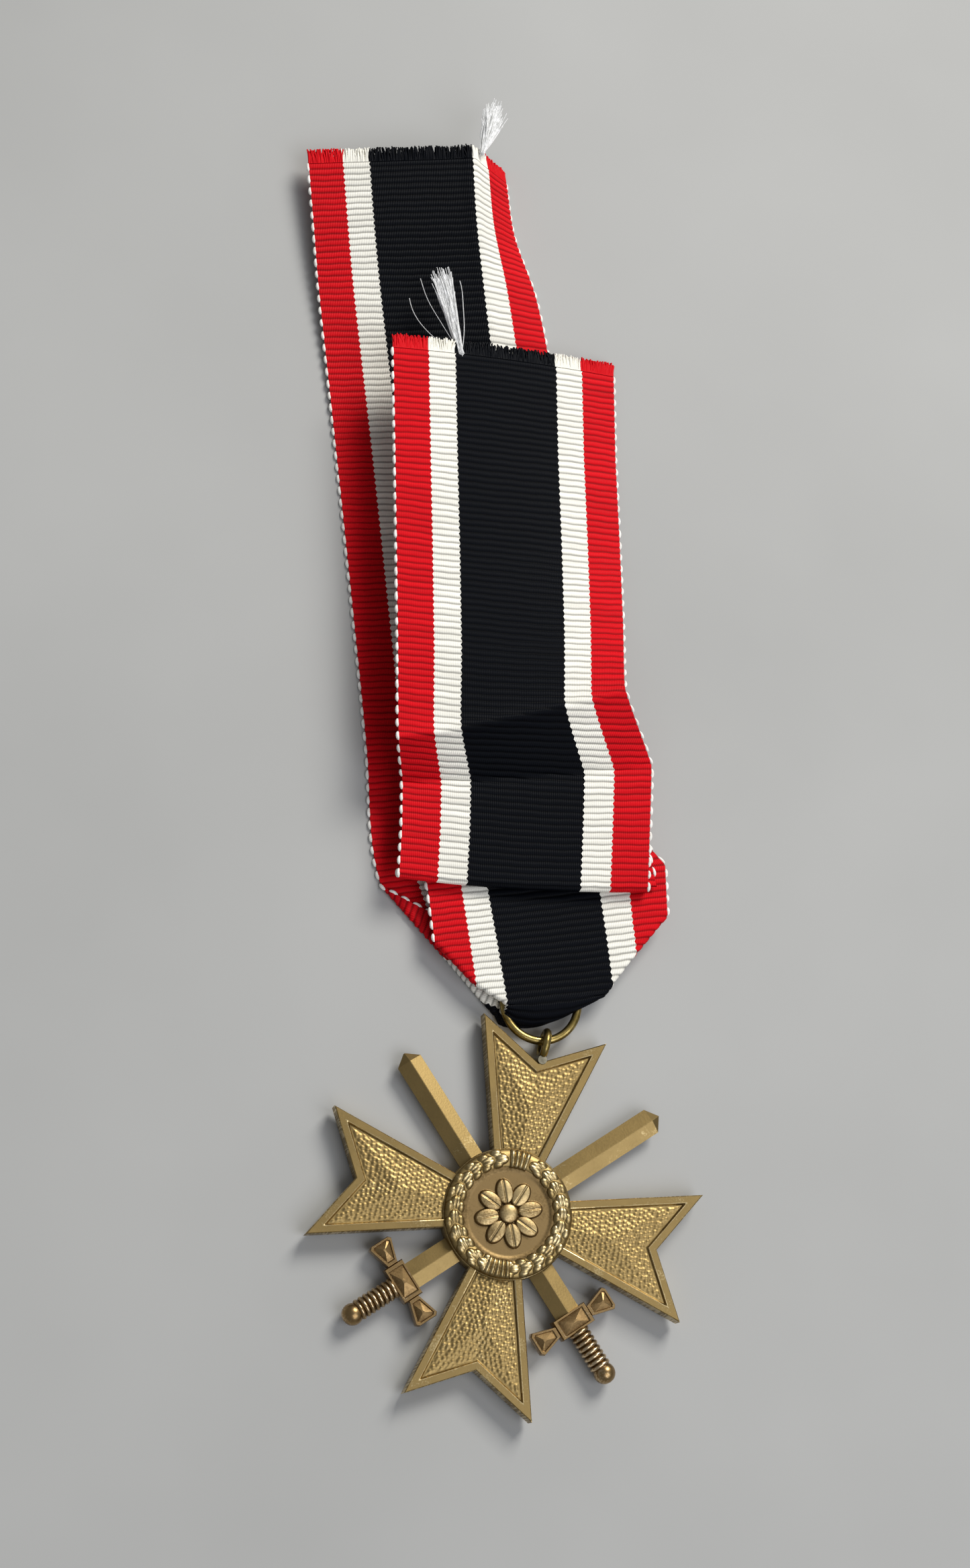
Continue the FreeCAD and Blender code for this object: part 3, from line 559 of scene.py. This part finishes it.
def sword(name, turn_to_hilt):
    """One sword laid through the cross: ridged blade, guard with flared ends, ringed grip and round pommel."""
    solid = Solid()

    def laid(points):
        """Sword numbers (along to the hilt, sideways, up) as places on the cross."""
        c, s = math.cos(turn_to_hilt), math.sin(turn_to_hilt)
        a, b, z = points[..., 0], points[..., 1], points[..., 2]
        x, y = turned(c * a - s * b, s * a + c * b)
        return np.stack([x, y, z + sword_level], -1)

    section = ((-1.68, -0.15), (-1.68, 0.15), (-0.05, 0.8), (0.05, 0.8), (1.68, 0.15), (1.68, -0.15),
               (0.05, -0.8), (-0.05, -0.8))
    for stations in (((-23.7, 0.06, 0.3), (-22.5, 1, 1), (-7.6, 1, 1)), ((7.6, 1, 1), (14.4, 1, 1))):
        rings = np.array([[(a, b * wide, z * thick) for b, z in section] for a, wide, thick in stations])
        solid.grid(laid(rings), around=True, raised=0.62, mark=1)
        solid.facets(laid(rings[0]), [list(range(8))])
    # each ring of the guard and flares is painted its own paleness: on the top the sunk groove darkest, patina
    # with painted shade, and the walls and inner rim palest, rubbed metal with a painted highlight
    worn_and_highlit = np.array([0.6, 0.3, 0.8, 0.6, 0.8])
    worn_and_highlit = np.concatenate([worn_and_highlit, worn_and_highlit[::-1]])
    block = ((14.1, -2.42), (16.75, -2.42), (16.75, 2.42), (14.1, 2.42))
    points, faces = hipped(block, 0.62, 0.98, 1.25, 0.22)
    solid.facets(laid(points), faces, raised=np.repeat(worn_and_highlit, 4))
    for side in (-1, 1):
        flare = ((14.75, side * 2.3), (16.1, side * 2.3), (16.95, side * 5.3), (16.6, side * 5.65),
                 (14.15, side * 5.65), (13.8, side * 5.3))
        points, faces = hipped(flare, 0.5, 0.85, 1.08, 0.24)
        solid.facets(laid(points), faces, raised=np.repeat(worn_and_highlit, 6))
    along = np.linspace(16.6, 22.0, 177)
    rings = np.abs(np.sin((along - 16.6) / 5.4 * 8 * math.pi)) ** 0.7
    knob = 21.6 + 2.5 * np.linspace(0, 1, 24)
    knob_radius = POMMEL_RADIUS * np.sqrt(np.clip(1 - ((knob - POMMEL_AT) / POMMEL_RADIUS) ** 2, 0, 1)) + 0.02
    along = np.concatenate([along, knob])
    radius = np.concatenate([1.06 + 0.3 * rings, knob_radius])[:, None]
    turn = np.linspace(0, 2 * math.pi, 32, endpoint=False)
    grip = np.stack([np.repeat(along[:, None], len(turn), 1), radius * np.cos(turn),
                     0.98 * radius * np.sin(turn)], -1)
    # grip rings painted pale on their crests and dark in the grooves between them: rubbed metal with a painted
    # highlight, patina with painted shade
    raised = np.concatenate([0.1 + 0.85 * rings, np.full(len(knob), 0.75)])[:, None]
    solid.grid(laid(grip), around=True, raised=raised)
    piece = solid.make(name, [bronze_hilt, bronze], 18)
    soften = piece.modifiers.new("worn_edges", "BEVEL")
    soften.width, soften.segments = 0.07 * MM, 2
    soften.limit_method, soften.angle_limit = "ANGLE", math.radians(30)
    return piece


cross_piece = cross_body()
wreath_front = wreath("oak_wreath_front_leaves", plate_high, 1.02)
wreath_back = wreath("oak_wreath_back_leaves", plate_low, -0.72)
face_front = centre_face("centre_with_rosette", plate_high, 1, True)
face_back = centre_face("centre_back_plain", plate_low, -1, False)
sword_a = sword("sword_hilt_right", math.radians(-45))
sword_b = sword("sword_hilt_left", math.radians(-135))
for piece, nodes in ((cross_piece, ("cross_plate",)), (wreath_front, ("oak_wreath_front",)),
                     (wreath_back, ("oak_wreath_back",)), (face_front, ("centre_disc", "centre_rosette")),
                     (face_back, ("back_disc",)), (sword_a, ("sword_point_left",)),
                     (sword_b, ("sword_point_right",))):
    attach(piece, "cross")
    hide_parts(*nodes)
for name, finish in (("eyelet", brass), ("suspension_ring", brass), ("eyelet_solder", solder)):
    mesh = frame["nodes"][name].data
    mesh.materials.clear()
    mesh.materials.append(finish)

# ---------------------------------------------------------------- the ribbon

THICK, RIDGE = 0.26, 0.13
STEP = RIB / 6


def length_rows(start, end):
    return np.arange(start, end + STEP / 2, STEP)


def columns(count=52):
    """Places across the ribbon, closer together at its edges."""
    s = np.linspace(0, 1, count)
    return 0.6 * s + 0.4 * (0.5 - 0.5 * np.cos(math.pi * s))


def fold_over(place, at, direction, radius):
    """Cloth beyond a line is turned over it with a small round bend."""
    direction = np.asarray(direction, float) / np.hypot(*direction)
    out = np.array([direction[1], -direction[0]])
    beyond = (place[..., :2] - at) @ out
    bend = np.clip(beyond, 0, math.pi * radius)
    lies = np.where(beyond < math.pi * radius, radius * np.sin(bend / radius), -(beyond - math.pi * radius))
    change = np.where(beyond > 0, lies - beyond, 0)
    made = place.copy()
    made[..., :2] += change[..., None] * out
    made[..., 2] += np.where(beyond > 0, radius * (1 - np.cos(bend / radius)), 0)
    return made


# length from the woven end, then left edge, bend line and right edge of the back length
BACK = (
    (0, -27.35, 141.6, 3.2, -5.1, 142.99, 6.6, 0.6, 143.01, 0.45),
    (8.3, -26.47, 133.3, 2.6, -4.5, 134.7, 5.9, 1.7, 135.2, 0.4),
    (17.8, -25.44, 123.9, 1.6, -3.1, 125.4, 4.1, 4.7, 126.2, 0.35),
    (27.2, -24.2, 114.5, 0.8, -1.6, 115.9, 2.6, 6.6, 116.8, 0.3),
    (38.6, -22.8, 103.2, 0.3, 0.2, 105.1, 1.1, 8.5, 105.6, 0.3),
    (60.4, -20.3, 81.5, 0.25, 2.5, 83.7, 0.4, 10.9, 84.5, 0.25),
    (82.5, -17.9, 59.5, 0.25, 4.9, 61.8, 0.25, 13.4, 62.6, 0.25),
    (97.8, -16.55, 44.36, 0.25, 6.3, 47.5, 0.25, 14.9, 49.0, 0.25),
    (109.0, -13.1, 33.7, 0.25, 9.0, 40.6, 0.3, 17.2, 43.4, 0.4),
    (121.0, -10.4, 22.0, 0.25, 12.0, 29.2, 0.35, 20.2, 31.9, 0.5),
)
BACK_END, BEND_AT = 121.0, 23.0


def back_place(u, v):
    """Where a point of the back length lies; its right strip bends down to the table near the woven end."""
    s = through(BACK, v)
    left, bend, right = (s[:, None, 3 * i : 3 * i + 3] for i in range(3))
    first = left + (bend - left) * (u / BEND_AT)[..., None]
    second = bend + (right - bend) * ((u - BEND_AT) / (RIBBON_WIDTH - BEND_AT))[..., None]
    mix = ease((u - BEND_AT + 1.6) / 3.2)[..., None]
    return first * (1 - mix) + second * mix


def back_part():
    v = length_rows(0, BACK_END)
    # towards the ring the cloth is gathered to a narrow neck
    low = np.interp(v, (0, 111, 121), (0, 0, 8.2))
    high = np.interp(v, (0, 104, 112, 121), (RIBBON_WIDTH, RIBBON_WIDTH, 26, 16.6))
    u = low[:, None] + (high - low)[:, None] * columns()
    place = back_place(u, v)
    lying = v > 95
    place[lying] = fold_over(place[lying], (-15.8, 42.1), (15.33, -16.91), 0.3)
    return u, place


FRONT_LEFT_X, FRONT_LEFT_Y = (4.2, 0.14, -3.93, -8.7, -20), (24.0, 26.56, 28.99, 33.73, 45)
FRONT_RIGHT_X = (4.7, 7.48, 9.58, 11.77, 13.11, 13.92, 17.36, 21.1, 30)
FRONT_RIGHT_Y = (24.05, 25.2, 26.25, 27.44, 28.8, 30.14, 34.49, 39.0, 46)


def front_place(u, v):
    """Where a point of the front length lies, v going down to the ring."""
    marks = np.array([0, 8.5, 22.9, RIBBON_WIDTH])
    left = -10.2 + np.where(v < 0, 0.2, 0.13) * v
    right = 21.0 + np.where(v < 0, np.maximum(0.9 * v, -3.5), 0.03 * v)
    x = np.stack([left, -2.6 + 0.172 * v, 12.0 + 0.129 * v, right], -1)
    y = np.stack([40.6 - 0.968 * v, 41.9 - 0.985 * v, 44.1 - 0.99 * v, 45.6 - v], -1)
    place = np.empty(u.shape + (3,))
    for k in range(len(v)):
        place[k, :, 0] = np.interp(u[k], marks, x[k])
        place[k, :, 1] = np.interp(u[k], marks, y[k])
    bulge = np.sin(np.clip(u / RIBBON_WIDTH, 0, 1) * math.pi)
    place[..., 2] = 3.0 + 0.25 * bulge * ease(v / 10)[:, None]
    return place


FRONT_LAST = 15.6


def front_part():
    v = length_rows(-9.0, FRONT_LAST)
    fine = np.linspace(0, RIBBON_WIDTH, 400)
    spread = front_place(np.repeat(fine[None], len(v), 0), v)
    inside = (spread[..., 0] > np.interp(spread[..., 1], FRONT_LEFT_Y, FRONT_LEFT_X)) & (
        spread[..., 0] < np.interp(spread[..., 1], FRONT_RIGHT_Y, FRONT_RIGHT_X))
    inside |= (v < 0)[:, None]
    first = fine[np.argmax(inside, 1)]
    last = fine[len(fine) - 1 - np.argmax(inside[:, ::-1], 1)]
    # cloth past the edge is turned under with a small round bend
    radius, spare = 0.33, 1.5
    low, high = np.maximum(first - spare, 0), np.minimum(last + spare, RIBBON_WIDTH)
    u = low[:, None] + (high - low)[:, None] * columns()
    place = front_place(u, v)
    ahead = place[:, -1] - place[:, 0]
    ahead /= np.linalg.norm(ahead, axis=1)[:, None]
    for beyond, sign in ((first[:, None] - u, -1), (u - last[:, None], 1)):
        beyond = np.clip(beyond, 0, None)
        bend = np.clip(beyond, 0, math.pi * radius)
        lies = np.where(beyond < math.pi * radius, radius * np.sin(bend / radius), math.pi * radius - beyond)
        place += (lies - beyond)[..., None] * sign * ahead[:, None]
        place[..., 2] -= radius * (1 - np.cos(bend / radius))
    return u, place


def loop_part(back, front):
    """The turn inside the ring, from the last row of the back length to the last row of the front one."""
    (bu, bp), (fu, fp) = back, front
    turn = np.linspace(0, math.pi, 44)[1:-1]
    mid, half = (bp[-1] + fp[-1]) / 2, (bp[-1] - fp[-1]) / 2
    hang = 0.25 + 2.3 * np.sin(math.pi * columns()) ** 0.9
    down = np.array([0.12, -0.99, 0])
    rows = mid + half * np.cos(turn)[:, None, None] + (down * hang[:, None]) * np.sin(turn)[:, None, None]
    t = (turn / math.pi)[:, None]
    return bu[-1] * (1 - t) + fu[-1] * t, rows


# step mark, then for the left and the right edge: side, length line and height
FLAP = (
    (0, -16.47, 112.5, 9.5, 15.4, 114.7, 1.35),
    (14, -16.1, 112.4, 9.5, 15.5, 114.8, 1.35),
    (28, -15.75, 112.4, 9.5, 15.85, 114.3, 1.7),
    (41, -15.45, 112.4, 9.45, 15.6, 113.8, 3.9),
    (52, -15.3, 112.35, 9.3, 14.65, 113.2, 7.9),
    (58, -13.94, 114.1, 4.9, 19.0, 114.1, 4.75),
    (65, -13.95, 114.3, 4.75, 18.6, 113.9, 4.75),
    (71.9, -14.25, 114.4, 4.75, 18.2, 114.1, 4.75),
)
CREST_MARK, FOOT_MARK, FLAP_LENGTH = 52, 58, 71.9
FOLD_RADIUS = 0.42


def flap_part():
    """The long top layer: flat by its fold, a steep step, then a leaning length up to its woven end."""
    v = length_rows(0, FLAP_LENGTH)
    u = np.repeat((RIBBON_WIDTH * columns())[None], len(v), 0)
    t = u / RIBBON_WIDTH
    # the crest and the foot of the step are creases that run slanting across the ribbon
    crest, foot = 53.5 - 7.7 * t, 59.5 - 4.0 * t
    down = np.repeat(v[:, None], u.shape[1], 1)
    before = down * CREST_MARK / crest
    on_step = CREST_MARK + (FOOT_MARK - CREST_MARK) * (down - crest) / (foot - crest)
    after = FOOT_MARK + (FLAP_LENGTH - FOOT_MARK) * (down - foot) / (FLAP_LENGTH - foot)
    mark = np.where(down < crest, before, np.where(down < foot, on_step, after))
    station = np.array(FLAP).T
    left, right = (np.stack([np.interp(mark, station[0], station[i + k]) for i in range(3)], -1)
                   for k in (1, 4))
    place = left * (1 - t[..., None]) + right * t[..., None]
    place[..., 1] -= down
    arch = 4 * t * (1 - t)
    place[..., 2] += 0.9 * arch * (1 - ease((down - 40) / 14))
    place[..., 1] -= 0.55 * arch * ease((down - 8) / 20)
    place[..., 2] += 0.45 * np.exp(-np.abs(mark - CREST_MARK) / 1.1)
    place[..., 2] -= 0.25 * np.exp(-np.abs(mark - FOOT_MARK) / 0.9)
    # woven cloth creases over about a millimetre
    soft = np.hanning(9)[1:-1] / np.hanning(9).sum()
    padded = np.concatenate([place[:1]] * 3 + [place] + [place[-1:]] * 3)
    smooth = sum(share * padded[k : k + len(place)] for k, share in enumerate(soft))
    place[3:-3] = smooth[3:-3]
    # the fold back under, and the first of the pleat
    turn = length_rows(0, math.pi * FOLD_RADIUS) / FOLD_RADIUS
    end = place[-1]
    bent = np.stack([end + [0, -FOLD_RADIUS * math.sin(a), -FOLD_RADIUS * (1 - math.cos(a))] for a in turn])
    tail = length_rows(STEP, 1.5)
    tail_rows = np.stack([bent[-1] + [0, d, 0] for d in tail])
    place = np.concatenate([place, bent, tail_rows])
    return np.repeat(u[:1], len(place), 0), place


def pleat_part():
    """The hidden zigzag: the front length runs up, turns, and comes down to the flap's fold."""
    rise, radius = length_rows(0, 7.0), 0.38
    u = (RIBBON_WIDTH * columns())[None]
    t = u[0][:, None] / RIBBON_WIDTH
    start = np.array([-12.0, 49.3, 3.0]) * (1 - t) + np.array([17.5, 54.6, 3.0]) * t
    up = np.stack([start + [-0.12 * d, d, 0] for d in rise])
    up[..., 1] = np.minimum(up[..., 1], 55.6)
    turn = length_rows(0, math.pi * radius) / radius
    bent = np.stack([up[-1] + [0, radius * math.sin(a), radius * (1 - math.cos(a))] for a in turn])
    left, right = np.array([-13.1, 42.9, 3.9]), np.array([19.6, 42.4, 3.9])
    down_end = left * (1 - t) + right * t
    count = int(np.linalg.norm(down_end - bent[-1], axis=1).mean() / STEP)
    down = np.stack([bent[-1] + (down_end - bent[-1]) * (k / count) for k in range(1, count + 1)])
    place = np.concatenate([up, bent, down])
    return np.repeat(u, len(place), 0), place


def bead(at, along, out, up):
    """One picot loop of the edge thread, as a small rounded stitch."""
    a = np.linspace(0.02, math.pi - 0.02, 7)[:, None, None]
    b = np.linspace(0, 2 * math.pi, 8, endpoint=False)[None, :, None]
    bow = 0.1 * np.sin(a)
    return (at + along * (0.62 * np.cos(a)) + out * (bow + 0.25 * np.sin(a) * np.cos(b))
            + up * (0.25 * np.sin(a) * np.sin(b)))


def ribbon(name, parts, picots=True):
    """A woven strip with ribs on both faces and picot loops along the edges it has."""
    u, place = (np.concatenate([p[i] for p in parts]) for i in range(2))
    # the weft never lies quite straight
    gu, gv = u / 3.1, (np.arange(len(place)) * STEP)[:, None] / 7.3
    drift = (0.06 * np.sin(gu * 0.9 + gv * 1.7) + 0.025 * np.sin(gu * 3.7 - gv * 3.1)
             + 0.02 * np.sin(gu * 8.3 + gv * 7.9))
    along, across = np.gradient(place, axis=0), np.gradient(place, axis=1)
    ends = np.minimum(np.arange(len(place)), np.arange(len(place))[::-1])[:, None, None]
    place = place + along / STEP * (drift * np.minimum(ends[..., 0] / 12, 1))[..., None]
    along, across = np.gradient(place, axis=0), np.gradient(place, axis=1)
    up = np.cross(across, -along)
    up /= np.linalg.norm(up, axis=2)[..., None] + 1e-9
    phase = np.arange(len(place)) * STEP
    ridge = np.sqrt(np.abs(np.sin(math.pi * phase / RIB)))[:, None, None]
    lift = THICK / 2 + RIDGE * (ridge - 0.5)
    top, low = place + up * lift, place - up * lift
    cloth_place = np.stack([u, np.repeat(phase[:, None], u.shape[1], 1)], -1)
    solid = Solid()
    solid.grid(top, cloth=cloth_place)
    solid.grid(low, cloth=cloth_place, flip=True)
    sides = ((np.s_[:, 0], False), (np.s_[:, -1], True), (np.s_[0, :], True), (np.s_[-1, :], False))
    for edge, flip in sides:
        solid.grid(np.stack([top[edge], low[edge]]), cloth=np.stack([cloth_place[edge]] * 2), flip=flip)
    if picots:
        for k in range(4, len(place) - 4, 12):
            for column, sign, has in ((0, -1, u[k, 0] < 0.05), (-1, 1, u[k, -1] > RIBBON_WIDTH - 0.05)):
                if not has:
                    continue
                a = place[min(k + 2, len(place) - 1), column] - place[k - 2, column]
                a /= np.linalg.norm(a) + 1e-9
                o = sign * (place[k, 1] - place[k, 0] if column == 0 else place[k, -1] - place[k, -2])
                o /= np.linalg.norm(o) + 1e-9
                n = up[k, column]
                wobble = chance.uniform(0.9, 1.1)
                solid.grid(bead(place[k, column] + o * 0.05, a * wobble, o, n), around=True,
                           cloth=(0, 0), mark=1)
    return solid.make(name, [cloth, picot_thread], 70)


back, front = back_part(), front_part()
front_reversed = tuple(a[::-1] for a in front)
lower = ribbon("ribbon_back_and_loop", [back, loop_part(back, front), front_reversed])
pleat = ribbon("ribbon_pleat_layers", [pleat_part()])
flap_rows = flap_part()
flap = ribbon("ribbon_front_flap_woven", [flap_rows])


def frayed_end(name, rows, count=250):
    """Warp ends left past the last woven row, bent every which way."""
    u, place = rows
    solid = Solid()
    edge, inner = place[0], place[6]
    for layer in range(2):
        for k in range(count):
            t = (k + chance.uniform(0.1, 0.9)) / count * (edge.shape[0] - 1)
            i = min(int(t), edge.shape[0] - 2)
            f = t - i
            root = edge[i] * (1 - f) + edge[i + 1] * f
            ahead = edge[i] - inner[i]
            ahead /= np.linalg.norm(ahead)
            side = edge[i + 1] - edge[i]
            side /= np.linalg.norm(side)
            long = chance.uniform(1.6, 2.1)
            lean, lift = chance.normal(0, 0.22), chance.uniform(-0.2, 0.35)
            s = np.linspace(0, 1, 6)[:, None]
            line = root + ahead * long * s + side * lean * s**2 + np.array([0, 0, 1]) * (lift * s - 0.25 * s**2)
            line[:, 2] = np.maximum(line[:, 2], 0.17)
            dye = u[0, i] * (1 - f) + u[0, i + 1] * f
            solid.grid(tube(line, 0.15 - 0.05 * s[:, 0], 5), around=True, cloth=(dye, RIB / 2))
    return solid.make(name, [cloth], 80)


def floss(name, root, tips, count, strays=()):
    """A tuft of loose white warp fibres pulled out of the weave."""
    root = np.asarray(root, float)
    solid = Solid()
    lines = []
    for _ in range(count):
        mix = chance.dirichlet(np.ones(len(tips)) * 0.7)
        tip = mix @ np.asarray(tips, float)
        tip = root + (tip - root) * chance.uniform(0.6, 1.02)
        lines.append((root + chance.normal(0, 0.12, 3), tip, chance.normal(0, 0.22, 3)))
    lines += [(root, np.asarray(t, float), np.asarray(b, float)) for t, b in strays]
    for start, tip, bow in lines:
        s = np.linspace(0, 1, 14)[:, None]
        wave = 0.1 * np.sin(s * chance.uniform(4, 9) + chance.uniform(0, 6)) * s
        line = start + (tip - start) * s + bow * 4 * s * (1 - s) * 0.7 + wave * [1, 0.2, 0.6]
        line[:, 2] = np.maximum(line[:, 2], 0.1)
        solid.grid(tube(line, 0.048, 4), around=True)
    return solid.make(name, [silk], 80)


fringe_back = frayed_end("fringe_back", back)
fringe_front = frayed_end("fringe_front", flap_rows)
tuft_back = floss("floss_back", (-3.9, 144.0, 6.4),
                  ((-4.6, 150.6, 7.2), (-2.6, 152.2, 7.4), (-1.2, 151.6, 7.2), (0.0, 149.0, 7.0)), 260)
tuft_front = floss("floss_front", (-7.0, 113.1, 7.9),
                   ((-12.0, 125.3, 7.6), (-10.0, 126.2, 8.2), (-8.2, 124.9, 8.4), (-8.6, 119.0, 8.2)), 280,
                   (((-13.6, 122.0, 5.0), (-1.6, -1.2, 0)), ((-12.4, 124.5, 6.0), (-1.0, 0.6, 0)),
                    ((-7.4, 123.6, 8.2), (0.7, 0.3, 0.2))))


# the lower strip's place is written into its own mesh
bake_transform(lower)
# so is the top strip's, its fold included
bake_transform(flap)
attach(pleat, "ribbon_front")
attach(fringe_back, "ribbon_back")
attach(tuft_back, "ribbon_back")
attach(fringe_front, "ribbon_flap")
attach(tuft_front, "ribbon_flap")
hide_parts("ribbon_back_length", "ribbon_loop", "ribbon_front_length")
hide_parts("ribbon_pleat")
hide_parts("ribbon_front_flap")
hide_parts("frayed_end_back")
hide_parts("frayed_end_front")
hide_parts("warp_tuft_back")
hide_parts("warp_tuft_front")

# ---------------------------------------------------------------- table, light and camera

size = 1.2
top = bpy.data.meshes.new("table_top")
top.from_pydata([(-size, -size, 0), (size, -size, 0), (size, size, 0), (-size, size, 0)], [], [(0, 1, 2, 3)])
top.materials.append(table_top())
floor = bpy.data.objects.new("table_top", top)
bpy.context.scene.collection.objects.link(floor)


def lamp(name, place, aim, wide, power, colour="#FFFFFF"):
    """A soft square lamp pointed at a place."""
    light = bpy.data.lights.new(name, "AREA")
    light.shape, light.size, light.energy = "SQUARE", wide, power
    light.color = linear(colour)[:3]
    made = bpy.data.objects.new(name, light)
    bpy.context.scene.collection.objects.link(made)
    made.location = place
    made.rotation_euler = (made.location - type(made.location)(aim)).to_track_quat("Z", "Y").to_euler()
    return made


lamp("window", (0.56, 0.86, 0.98), (0, 0, 0), 0.6, 19.0, "#FFFDF8")
lamp("ceiling", (0.36, -0.42, 0.8), (0, 0, 0), 0.7, 4.2, "#F6F8FF")
world = bpy.data.worlds.new("room")
bpy.context.scene.world = world
world.use_nodes = True
world.node_tree.nodes["Background"].inputs["Color"].default_value = linear("#DDE0E4")
world.node_tree.nodes["Background"].inputs["Strength"].default_value = 0.3
bpy.context.scene.view_settings.view_transform = "Standard"

camera_data = bpy.data.cameras.new("camera")
camera_data.lens, camera_data.sensor_width = 61.62, 36
camera_data.clip_start = 0.01
camera = bpy.data.objects.new("camera", camera_data)
bpy.context.scene.collection.objects.link(camera)
right, upward, ahead = (0.98034, 0.0, 0.19731), (-0.0534, 0.96269, 0.2653), (0.18995, 0.27062, -0.94376)
stand = (np.array([-68.763, -38.701, 330.584]) + centre) * MM
rows = [(right[i], upward[i], -ahead[i], stand[i]) for i in range(3)] + [(0, 0, 0, 1)]
camera.matrix_world = type(camera.matrix_world)(rows)
bpy.context.scene.camera = camera
